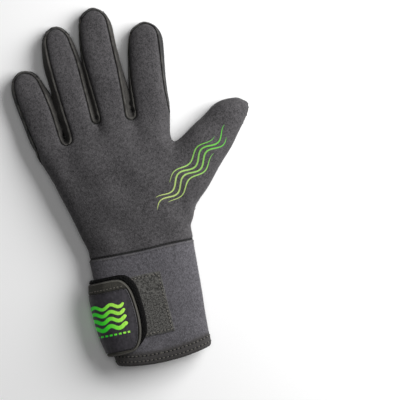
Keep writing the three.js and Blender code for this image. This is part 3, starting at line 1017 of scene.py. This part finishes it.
backReach = lineField([backSeamLine], handGrid, cloth["seamBand"])
gussetReach = lineField(gussetLines, handGrid, cloth["seamBand"])
sewnSkin = drawnIn(skin, backReach, cloth["seamDepth"])
sewnSkin = ridged(sewnSkin, backReach, backRegion, cloth["ridgeHigh"])
near, span, least, most = cloth["gussetFade"]
fades = np.clip((backReach - near) / span, least, most)
sewnSkin = drawnIn(sewnSkin, gussetReach, fades * cloth["seamDepth"])
sewnSkin = drawnIn(sewnSkin, np.abs(wristSide), cloth["wristDepth"])
sewnSkin = common(sewnSkin, cloth["floorLeast"] - handGrid["z"])
skinMarks = {
    "depth": -skin / cloth["wall"],
    "seam": merged(backReach, gussetReach, np.abs(wristSide)),
    "ridge": backReach,
}
print("seams drawn")

panels = [("back_of_glove", backRegion, backKnit), ("palm_of_glove", palmRegion, palmKnit)]
panels += [("gusset_" + name, region, gussetKnit) for name, region in gussetRegions.items()]
for name, region, knit in panels:
    field = common(sewnSkin, region + halfGap, halfGap - wristSide, -(skin + cloth["wall"]))
    clothPiece(name, field, handGrid, knit, skinMarks)


# Cuff: tube with a turned hem
cuff = {
    "rows": table(
        "y left right top base",
        (-98, -35.6, 37, 27.4, 2.2),
        (-90, -36.4, 37.4, 27.5, 2.7),
        (-78, -37.6, 38, 27.6, 3.7),
        (-60, -39.5, 38.6, 27.4, 3.7),
        (-40, -40.8, 39.9, 27, 3.7),
        (-15, -40.9, 41.0, 26.6, 3.7),
        (-0.15, -40.8, 41.7, 27, 1.2),
        (8, -40.8, 42, 27, 0.6),
    ),
    "cornerY": -84.6,
    "middleY": -89.2,
    "halfWidth": 38.6,
    "hemWide": 9.5,
    "hemThick": 0.35,
    "hemFade": 2.4,
    "hemRound": 3.0,
    "mouthRound": 1.2,
    "stitchRows": (3.6, 7.7),  # from the hem's edge
    "rowDepth": 0.4,
    "rowWide": 1.3,
    "ridgeHigh": 0.4,
    "voxel": 0.61,
}


def hemCurve():
    end = cuff["halfWidth"]
    bend = 2 * cuff["middleY"] - cuff["cornerY"]
    t = np.linspace(0, 1, 24)
    x = (1 - t) ** 2 * -end + t ** 2 * end
    y = (1 - t) ** 2 * cuff["cornerY"] + 2 * t * (1 - t) * bend + t ** 2 * cuff["cornerY"]
    return list(zip(x, y))


cuffGrid = makeGrid((-46, -94, -1), (47, 3, 33), cuff["voxel"])
cuffTube = tubeField(cuff["rows"], cuffGrid, 6)
cuffRegion = outlineField(hemCurve() + [(60, -80), (60, 10), (-60, 10), (-60, -80)], cuffGrid)
hemSide = np.clip((cuffRegion + cuff["hemWide"]) / cuff["hemFade"], 0, 1)
cuffWrist = pastWrist(cuffGrid, halfGap)
wristReach = np.abs(cuffWrist)
cuffSkin = drawnIn(cuffTube - cuff["hemThick"] * hemSide, wristReach, cloth["wristDepth"])
cuffSkin = ridged(cuffSkin, wristReach, wristReach, cuff["ridgeHigh"])
hemLines = []
for row in cuff["stitchRows"]:
    start = (0, cuff["middleY"] + row, cuff["rows"][0]["top"])
    hemLines.append(followLine(cuffTube, cuffRegion + row, cuffGrid, start, (1, 0, 0)))
    cuffSkin = drawnIn(cuffSkin, np.abs(cuffRegion + row), cuff["rowDepth"], cuff["rowWide"])
cuffField = common(softMax(cuffSkin, cuffRegion, cuff["hemRound"]), cuffWrist + halfGap)
cuffField = softMax(cuffField, -(cuffTube + cloth["wall"]), cuff["mouthRound"])
cuffMarks = {"seam": wristReach, "ridge": wristReach, "hem": cuffRegion}
cuffMarks["depth"] = -cuffTube / cloth["wall"]
clothPiece("cuff_tube", cuffField, cuffGrid, cuffKnit, cuffMarks)


# Strap, its printed label, and the pads that close it
strap = {
    "offCuff": (4.0, 0.4, 3.1, 0.4),  # from the cuff's left, right, top and base
    "thick": 3.0,
    "round": 2.4,
    "right": 34.5,
    "near": -76.5,
    "far": -18.2,
    "foldX": -36.0,
    "backFrom": 8.0,
    "palmTo": 9.0,
    "voxel": 0.5,
    "pipeHigh": 0.4,
    "pipeAt": 1.0,
    "pipeWide": 0.55,
    "pipeFrom": 9.0,
    "pipeRise": 8.0,
    "elastic": (4.5, -69.0, 31.0, -26.5),
    "cornerTuck": 2.2,  # the band's edges are drawn in where it folds round the wrist
    "tuckFrom": 2.0,
    "tuckWide": 6.0,
    "ribPitch": 2.4,
    "ribDeep": 0.35,
    "ribsBelow": 6.0,
    "rows": table(
        "start ahead",
        ((-20.5, -24.4, 32), (-1, 0, 0)),
        ((-30, -20.6, 0.3), (1, 0, 0)),
        ((-30, -71.9, 0.3), (1, 0, 0)),
        ((-30, -74.4, 0.3), (1, 0, 0)),
    ),
    "rootRows": (29.6, 32.2),
    "end": [
        (-26, -18.2), (-20.4, -19.4), (-16.2, -23.4), (-13.3, -30), (-11.9, -40),
        (-11.4, -51), (-12.3, -61), (-15.1, -69.5), (-19.9, -75), (-28, -76.8),
    ],
}
label = {
    "inside": 2.3,
    "palmRight": 2.0,
    "near": -71.0,
    "tabNear": -73.8,
    "far": -26.4,
    "thick": 0.6,
    "round": 0.8,
    "gap": 0.25,
    "fromEdge": 0.4,
    "stitchInset": 0.9,
}
hookPad = {
    "under": 1.6,
    "over": 2.85,
    "round": 1.2,
    "rim": 4.6,
    "rimShare": ((-74.5, -71.7, -68.5, -64, -40, -27, -18), (0.05, 0.3, 0.68, 1, 1, 1.08, 1)),
    "topRim": 2.8,
    "back": -44.0,
    "rimBack": -50.0,  # the rim also goes round the glove's edge
    "rimOver": 4.3,
    "rimLeft": 6.3,
    "rimGap": 0.3,
    "rimRound": 1.6,
    "rimFrom": 9.0,
}
loopPad = {
    "under": 0.3,
    "over": 1.35,
    "round": 1.6,
    "above": 15.7,  # both pads lie on the upper half of the cuff
    "corners": [(-32.0, -67.2), (13.2, -67.2), (11.6, -18.9), (-32.0, -18.9)],
    "stitchInset": 2.2,
}

padGrid = makeGrid((-52, -80, -1), (38, -13, 36), strap["voxel"])
padX, padY, padZ = padGrid["x"], padGrid["y"], padGrid["z"]


# The cuff's form grown by one distance, or by one each to the left, right, top and base
def cuffGrown(*grow):
    sides = dict(zip(("left", "right", "top", "base"), grow * 4))
    return tubeField(cuff["rows"], padGrid, 5, sides)


def boxPlan(left, near, right, far):
    return outlineField([(left, near), (right, near), (right, far), (left, far)], padGrid)


aboveMiddle = loopPad["above"] - padZ
loopPlan = outlineField(loopPad["corners"], padGrid)
loopOuter = cuffGrown(loopPad["over"])
loopField = softMax(loopOuter, loopPlan, loopPad["round"])
loopField = common(loopField, -cuffGrown(loopPad["under"]), aboveMiddle)
clothPiece("loop_patch_pile", loopField, padGrid, loopPile)

endCurve = curveThrough(strap["end"])
nearEnd, span = endCurve[-1][1], endCurve[0][1] - endCurve[-1][1]
rimCurve = []
for x, y in endCurve:
    rim = hookPad["rim"] * np.interp(y, *hookPad["rimShare"])
    rimCurve.append((x + rim, y + hookPad["topRim"] * (y - nearEnd) / span))


def hookPlan(back):
    return outlineField([(back, rimCurve[0][1])] + rimCurve + [(back, rimCurve[-1][1])], padGrid)


# The band's round end lies on top, its body under the palm side, and a fold joins the two
pastGlove = -60  # left of the box of cells
tabPlan = [(pastGlove, strap["far"])] + endCurve + [(pastGlove, strap["near"])]
tabPlan = outlineField(tabPlan, padGrid)
onTop, onPalm = strap["backFrom"] - padZ, padZ - strap["palmTo"]
bandPlan = boxPlan(pastGlove, strap["near"], strap["right"], strap["far"])
foldPlan = boxPlan(pastGlove, strap["near"], strap["foldX"], strap["far"])
strapRegion = merged(common(tabPlan, onTop), common(bandPlan, onPalm), foldPlan)
fromMiddle = np.abs(padY - (strap["near"] + strap["far"]) / 2) / (strap["far"] - strap["near"]) * 2
tuckRise = (strap["foldX"] + strap["tuckFrom"] - padX) / strap["tuckWide"]
tuck = strap["cornerTuck"] * fromMiddle ** 3 * np.clip(tuckRise, 0, 1)
strapFace = cuffGrown(*[off + strap["thick"] for off in strap["offCuff"]]) + tuck
strapInner = cuffGrown(*strap["offCuff"]) + tuck


def labelPlan(grow):
    low, high = label["near"] - grow, label["far"] + grow
    above = boxPlan(pastGlove, label["tabNear"] - grow, 0, high)
    above = common(above, tabPlan + label["inside"] - grow, onTop)
    onBand = boxPlan(pastGlove, low, label["palmRight"] + grow, high)
    return merged(above, common(onBand, onPalm))


# A piped edge round the tab, and ribs across the elastic part of the palm side
pipe = np.exp(-(((tabPlan + strap["pipeAt"]) / strap["pipeWide"]) ** 2))
pipe = np.clip((padZ - strap["pipeFrom"]) / strap["pipeRise"], 0, 1) * pipe
ribbed = np.clip(-boxPlan(*strap["elastic"]), 0, 1) * np.clip(strap["ribsBelow"] - padZ, 0, 1)
ribs = 0.5 + 0.5 * np.cos(2 * np.pi * padX / strap["ribPitch"])
strapOuter = strapFace - strap["pipeHigh"] * pipe + strap["ribDeep"] * ribbed * ribs
bandBody = common(softMax(strapOuter, strapRegion, strap["round"]), -strapInner)
recess = common(labelPlan(label["gap"]), -(strapFace + label["thick"] + label["gap"]))
clothPiece("wrist_strap", common(bandBody, -recess), padGrid, strapKnit, {"pipe": pipe})
labelField = common(softMax(strapFace, labelPlan(0), label["round"]), -(strapFace + label["thick"]))
labelField = common(labelField, strapRegion + label["fromEdge"])
clothPiece("strap_label_film", labelField, padGrid, labelFilm, rounds=1)

# The hook pad fills the room under the tab and shows as a rim round it
hookUnder = -cuffGrown(hookPad["under"])
hookField = softMax(cuffGrown(hookPad["over"]), hookPlan(hookPad["back"]), hookPad["round"])
rimOuter = cuffGrown(hookPad["rimLeft"], 0, hookPad["rimOver"], 0) + tuck
rimField = softMax(rimOuter, hookPlan(hookPad["rimBack"]), hookPad["rimRound"])
hookField = merged(
    common(hookField, hookUnder, aboveMiddle), common(rimField, hookUnder, hookPad["rimFrom"] - padZ)
)
hookField = common(hookField, hookPad["rimGap"] - bandBody)
clothPiece("hook_pad_tape", hookField, padGrid, hookTape)
print("cuff and strap shaped")


# Seams closed by a dark line of glue, then stitches and nubs


def gluePiece(name, lines, radius, sink, sides=8):
    corners, faces, first = [], [], 0
    for line in lines:
        rings = tubeRings(line, radius, sides, sink)
        faces += tubeQuads(len(rings), line["closed"], sides, first).tolist()
        if not line["closed"]:
            end = np.arange(first, first + sides)
            faces += [end[::-1].tolist(), (end + (len(rings) - 1) * sides).tolist()]
        corners.append(rings.reshape(-1, 3))
        first += len(rings) * sides
    mesh = bpy.data.meshes.new(name)
    mesh.from_pydata(inFrame(np.vstack(corners)).tolist(), [], faces)
    mesh.shade_smooth()
    addObject(name, mesh, seamGlue)


# Lines as edges of a mesh, each point with the way up from the cloth
def lineMesh(name, lines):
    corners, edges, lifts = [], [], []
    for line in lines:
        first, count = len(corners), len(line["points"])
        corners += inFrame(line["points"]).tolist()
        lifts += line["lifts"].tolist()
        edges += [(first + i, first + i + 1) for i in range(count - 1)]
        if line["closed"]:
            edges.append((first + count - 1, first))
    mesh = bpy.data.meshes.new(name)
    mesh.from_pydata(corners, edges, [])
    mark = mesh.attributes.new("lift", "FLOAT_VECTOR", "POINT")
    mark.data.foreach_set("vector", np.array(lifts, np.float32).ravel())
    return mesh


# A tree whose inputs are given as the names of each kind
def newTree(name, **kinds):
    tree = bpy.data.node_groups.new(name, "GeometryNodeTree")
    tree.interface.new_socket("Geometry", in_out="OUTPUT", socket_type="NodeSocketGeometry")
    for kind, keys in {"Geometry": ["Geometry"], **kinds}.items():
        for key in keys:
            tree.interface.new_socket(key, in_out="INPUT", socket_type="NodeSocket" + kind)
    return tree, tree.nodes.new("NodeGroupInput").outputs


def geo(tree, kind, inputs=None, out=0, **settings):
    return addNode(tree, "GeometryNode" + kind, inputs, out, **settings)


def stored(tree, name, kind):
    return geo(tree, "InputNamedAttribute", {"Name": name}, data_type=kind)


def store(geometry, name, value, kind):
    inputs = {"Geometry": geometry, "Name": name, "Value": value}
    return geo(geometry.id_data, "StoreNamedAttribute", inputs, data_type=kind, domain="POINT")


def vectorMath(operation, inputs, out=0):
    return addNode(inputs[0].id_data, "ShaderNodeVectorMath", inputs, out, operation=operation)


def aligned(inputs, **settings):
    tree = inputs["Vector"].id_data
    return addNode(tree, "FunctionNodeAlignRotationToVector", inputs, **settings)


# The form of a stitch or a nub, long along z
def stretchedBall(tree, wide, long, sides):
    ball = geo(tree, "MeshUVSphere", {"Segments": sides, "Rings": 5, "Radius": 0.5})
    scale = addNode(tree, "ShaderNodeCombineXYZ", {0: wide, 1: wide, 2: long})
    return geo(tree, "Transform", {"Geometry": ball, "Scale": scale})


def finishTree(geometry, material):
    tree = geometry.id_data
    real = geo(tree, "RealizeInstances", {"Geometry": geometry})
    smooth = geo(tree, "SetShadeSmooth", {"Geometry": real})
    done = geo(tree, "SetMaterial", {"Geometry": smooth, "Material": material})
    addNode(tree, "NodeGroupOutput", {"Geometry": done}, [])
    return tree


def runTree(name, tree, settings, mesh=None):
    piece = addObject(name, mesh or bpy.data.meshes.new(name))
    modifier = piece.modifiers.new("repeat", "NODES")
    modifier.node_group = tree
    for item in tree.interface.items_tree:
        if item.in_out == "INPUT" and item.name in settings:
            modifier[item.identifier] = settings[item.name]
    evaluated = piece.evaluated_get(bpy.context.evaluated_depsgraph_get())
    made = bpy.data.meshes.new_from_object(evaluated)
    piece.modifiers.remove(modifier)
    piece.data = made
    print(f"{name}: {sum(len(p.vertices) - 2 for p in made.polygons)} triangles")


stitchStray = 0.12  # radians by which a stitch may lie askew


# Stitches along lines: each a small spindle that lies along the line or turned across it
def stitchTree():
    sizes = ["Pitch", "Length", "Thickness", "Raise", "Turn", "Phase"]
    tree, given = newTree("stitches", Float=sizes, Int=["Seed"], Material=["Thread"])
    curve = geo(tree, "MeshToCurve", {"Mesh": given["Geometry"]})
    spacing = {"Curve": curve, "Length": times(given["Pitch"], 0.5)}
    dots = geo(tree, "ResampleCurve", spacing, mode="LENGTH")
    between = calc("COMPARE", calc("MODULO", geo(tree, "InputIndex"), 2.0), given["Phase"], 0.1)
    lift = stored(tree, "lift", "FLOAT_VECTOR")
    offset = vectorMath("SCALE", {0: lift, "Scale": given["Raise"]})
    raised = geo(tree, "SetPosition", {"Geometry": dots, "Offset": offset})
    along = aligned({"Vector": geo(tree, "InputTangent")}, axis="X")
    upright = aligned({"Rotation": along, "Vector": lift}, axis="Z", pivot_axis="X")
    stray = {"Min": -stitchStray, "Max": stitchStray, "Seed": given["Seed"]}
    stray = addNode(tree, "FunctionNodeRandomValue", stray, "Value", data_type="FLOAT")
    twist = {"Axis": (0, 0, 1), "Angle": plus(given["Turn"], stray)}
    twist = addNode(tree, "FunctionNodeAxisAngleToRotation", twist)
    turned = {"Rotation": upright, "Rotate By": twist}
    turned = addNode(tree, "FunctionNodeRotateRotation", turned, rotation_space="LOCAL")
    spindle = stretchedBall(tree, given["Thickness"], given["Length"], 6)
    lying = geo(tree, "Transform", {"Geometry": spindle, "Rotation": (0, math.pi / 2, 0)})
    laid = {"Points": raised, "Selection": between, "Instance": lying, "Rotation": turned}
    return finishTree(geo(tree, "InstanceOnPoints", laid), given["Thread"])


handSeams = [backSeamLine] + gussetLines
gluePiece("seam_glue_lines", handSeams + [wristLine], radius=0.75, sink=1.5)

inset = loopPad["stitchInset"]
loopStart = (0, loopPad["corners"][2][1] - inset, 28.2)
loopStitchLine = followLine(loopOuter, loopPlan + inset, padGrid, loopStart, (1, 0, 0))

pastRoot = lambda p: p[0] > strap["right"] - 1.2
bandEnd = lambda p: not strap["near"] + 2 < p[1] < strap["far"] - 2
strapRows = []
for row in strap["rows"]:
    cut = padY - row["start"][1]
    strapRows.append(followLine(strapFace, cut, padGrid, row["start"], row["ahead"], pastRoot))
for x in strap["rootRows"]:
    strapRows.append(bothWays(strapFace, padX - x, padGrid, (x, -47, 0.3), (0, 1, 0), bandEnd))
inset = label["stitchInset"]
labelStart = (-30, label["far"] - inset, 32.5)
labelRow = followLine(strapFace, labelPlan(-inset), padGrid, labelStart, (1, 0, 0))

# Every run of stitches or needle holes; Turn is in degrees, and Phase 1 sets it between the others
runs = table(
    "name slot lines Thread Pitch Length Thickness Raise Turn Seed Phase",
    ("seam_stitches", "back_neoprene", handSeams, darkThread, 2.4, 2.6, 0.42, -0.75, 90, 2, 0.0),
    ("wrist_seam_stitches", "cuff_neoprene", [wristLine], darkThread, 2.4, 2.4, 0.42, -0.7, 90, 3, 0.0),
    ("hem_stitches", "cuff_neoprene", hemLines, hemThread, 3.2, 2.0, 0.8, 0.1, 0, 4, 0.0),
    ("hem_needle_holes", "cuff_neoprene", hemLines, seamGlue, 3.2, 1.9, 1.8, -0.12, 0, 4, 1.0),
    ("loop_patch_stitches", "loop_pile", [loopStitchLine], brownThread, 2.8, 1.9, 0.7, 0.05, 0, 5, 0.0),
    ("loop_patch_needle_holes", "loop_pile", [loopStitchLine], seamGlue, 2.8, 1.1, 1.1, -0.2, 0, 5, 1.0),
    ("strap_stitches", "strap_neoprene", strapRows, brownThread, 2.8, 1.9, 0.65, 0.05, 0, 6, 0.0),
    ("strap_needle_holes", "strap_neoprene", strapRows, seamGlue, 2.8, 1.1, 1.0, -0.2, 0, 6, 1.0),
    ("label_stitches", "label_film", [labelRow], darkThread, 2.2, 1.7, 0.5, 0.08, 0, 7, 0.0),
)
stitching = stitchTree()
for run in runs:
    settings = {key: run[key] * mm for key in ("Pitch", "Length", "Thickness", "Raise")}
    settings.update({key: run[key] for key in ("Seed", "Phase", "Thread")})
    settings["Turn"] = math.radians(run["Turn"])
    runTree(run["name"], stitching, settings, lineMesh(run["name"], run["lines"]))
print("stitches sewn")


# Grip nubs in a quincunx, thrown onto the palm panel from one side
def nubTree():
    tree, given = newTree(
        "grip nubs", Object=["Palm", "Seams"], Vector=["Start", "Turn", "Toward"], Material=["Rubber"],
        Float=["Pitch", "Width", "Height", "Across", "Along", "Facing", "Seam clear"],
    )
    palm, seams = (
        geo(tree, "ObjectInfo", {"Object": given[key]}, "Geometry") for key in ("Palm", "Seams")
    )
    rowPitch = times(given["Pitch"], math.sqrt(3) / 2)
    countX = calc("FLOOR", over(given["Across"], given["Pitch"]))
    countY = calc("FLOOR", over(given["Along"], rowPitch))
    wide, long = times(minus(countX, 1.0), given["Pitch"]), times(minus(countY, 1.0), rowPitch)
    counts = {"Size X": wide, "Size Y": long, "Vertices X": countX, "Vertices Y": countY}
    lattice = geo(tree, "MeshGrid", counts)
    y = addNode(tree, "ShaderNodeSeparateXYZ", {0: geo(tree, "InputPosition")}, 1)
    odd = calc("MODULO", calc("ROUND", over(plus(y, long), rowPitch)), 2.0)
    step = addNode(tree, "ShaderNodeCombineXYZ", {0: times(odd, 0.5, given["Pitch"])})
    staggered = geo(tree, "SetPosition", {"Geometry": lattice, "Offset": step})
    place = {"Geometry": staggered, "Translation": given["Start"], "Rotation": given["Turn"]}
    placed = geo(tree, "Transform", place)
    ray = {"Target Geometry": palm, "Ray Direction": given["Toward"], "Ray Length": 300 * mm}
    hit, where, normal = geo(tree, "Raycast", ray, ["Is Hit", "Hit Position", "Hit Normal"])
    dot = vectorMath("DOT_PRODUCT", {0: normal, 1: given["Toward"]}, "Value")
    keep = times(hit, below(dot, times(given["Facing"], -1.0)))
    kept = store(store(placed, "keep", keep, "FLOAT"), "lift", normal, "FLOAT_VECTOR")
    landed = geo(tree, "SetPosition", {"Geometry": kept, "Position": where})
    near = geo(tree, "Proximity", {0: seams}, "Distance", target_element="EDGES")
    clear = calc("GREATER_THAN", near, given["Seam clear"])
    bare = below(times(stored(tree, "keep", "FLOAT"), clear), 0.5)
    chosen = geo(tree, "DeleteGeometry", {"Geometry": landed, "Selection": bare}, domain="POINT")
    upright = aligned({"Vector": stored(tree, "lift", "FLOAT_VECTOR")}, axis="Z")
    nub = stretchedBall(tree, given["Width"], given["Height"], 7)
    grown = geo(tree, "InstanceOnPoints", {"Points": chosen, "Instance": nub, "Rotation": upright})
    return finishTree(grown, given["Rubber"])


# Nubs, half sunk in the cloth, and the sides that they are thrown from
nubSizes = {"Pitch": 3.3, "Width": 1.55, "Height": 0.95, "Along": 204.0, "Seam clear": 2.4}
nubSides = table(
    "name start turn toward across facing",
    ("under", (17.0, 96.0, -3.0), (0, 0, 0), (0.0, 0.0, 1.0), 200.0, 0.69),
    ("thumb_side", (125.0, 96.0, 2.9), (0, 90, 0), (-1.0, 0.0, 0.0), 7.0, 0.6),
    ("little_side", (-90.0, 96.0, 2.9), (0, 90, 0), (1.0, 0.0, 0.0), 7.0, 0.6),
)
nubbing = nubTree()
seamEdges = addObject("seam_edges", lineMesh("seam_edges", handSeams + [wristLine]))
for side in nubSides:
    settings = {key: size * mm for key, size in {**nubSizes, "Across": side["across"]}.items()}
    settings.update({"Palm": bpy.data.objects["palm_of_glove"], "Seams": seamEdges, "Rubber": gripRubber})
    settings["Start"] = inFrame(side["start"]).tolist()
    settings["Turn"] = [math.radians(degrees) for degrees in side["turn"]]
    settings.update({"Toward": side["toward"], "Facing": side["facing"]})
    runTree("grip_nubs_" + side["name"], nubbing, settings)
bpy.data.objects.remove(seamEdges)
print("nubs set")

standsFor = table(
    "piece node slot",
    ("back_of_glove", "back_panel", "back_neoprene"),
    ("palm_of_glove", "palm_panel", "palm_grip"),
    *[("gusset_" + name, "fourchette_" + name, "gusset_neoprene") for name in crotches],
    ("cuff_tube", "cuff", "cuff_neoprene"),
    ("loop_patch_pile", "loop_patch", "loop_pile"),
    ("hook_pad_tape", "hook_patch", "hook_pad"),
    ("wrist_strap", "strap", "strap_neoprene"),
    ("strap_label_film", "strap_label", "label_film"),
)
for row in standsFor:
    piece = bpy.data.objects[row["piece"]]
    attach(piece, "root")
    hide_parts(row["node"])

added = [("grip_nubs_" + side["name"], "palm_grip") for side in nubSides]
added += [("seam_glue_lines", "back_neoprene")] + [(run["name"], run["slot"]) for run in runs]
for name, slot in added:
    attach(bpy.data.objects[name], "root")

# Studio
studio = {
    "floorHalf": 3.0,
    "turn": -12.47,
    "lookAt": (0.0365, -0.0243),
    "height": 2.0,
    "frameWide": 0.3136,
    "sensor": 36,
    "sky": 0.055,
}
lamps = table(
    "name place size power",
    ("key", (0.7, 0.2, 0.54), 0.75, 14.0),
    ("fill", (0.05, 0.05, 1.9), 0.8, 6.3),
)


def addFloor():
    material, tree = newMaterial("pale_floor", {"Base Color": (0.95, 0.95, 0.95, 1), "Roughness": 0.9})
    corners = studio["floorHalf"] * np.array([(-1, -1, 0), (1, -1, 0), (1, 1, 0), (-1, 1, 0)])
    addObject("floor", newMesh("floor", corners, np.array([(0, 1, 2, 3)])), material)


def addLight(name, place, size, power):
    light = bpy.data.lights.new(name, "AREA")
    light.size = size
    light.energy = power
    lamp = addObject(name, light)
    lamp.location = place
    lamp.rotation_euler = (-Vector(place)).to_track_quat("-Z", "Y").to_euler()


def addCamera():
    camera = bpy.data.cameras.new("camera")
    camera.sensor_width = studio["sensor"]
    camera.lens = studio["sensor"] * studio["height"] / studio["frameWide"]
    camera.clip_end = 20
    view = addObject("camera", camera)
    view.location = (*studio["lookAt"], studio["height"])
    view.rotation_euler = (0, 0, math.radians(studio["turn"]))
    bpy.context.scene.camera = view


addFloor()
for lamp in lamps:
    addLight(**lamp)
world = bpy.data.worlds.new("studio")
world.use_nodes = True
world.node_tree.nodes["Background"].inputs["Color"].default_value = (1, 1, 1, 1)
world.node_tree.nodes["Background"].inputs["Strength"].default_value = studio["sky"]
bpy.context.scene.world = world
bpy.context.scene.view_settings.view_transform = "Standard"
addCamera()
print("studio set")
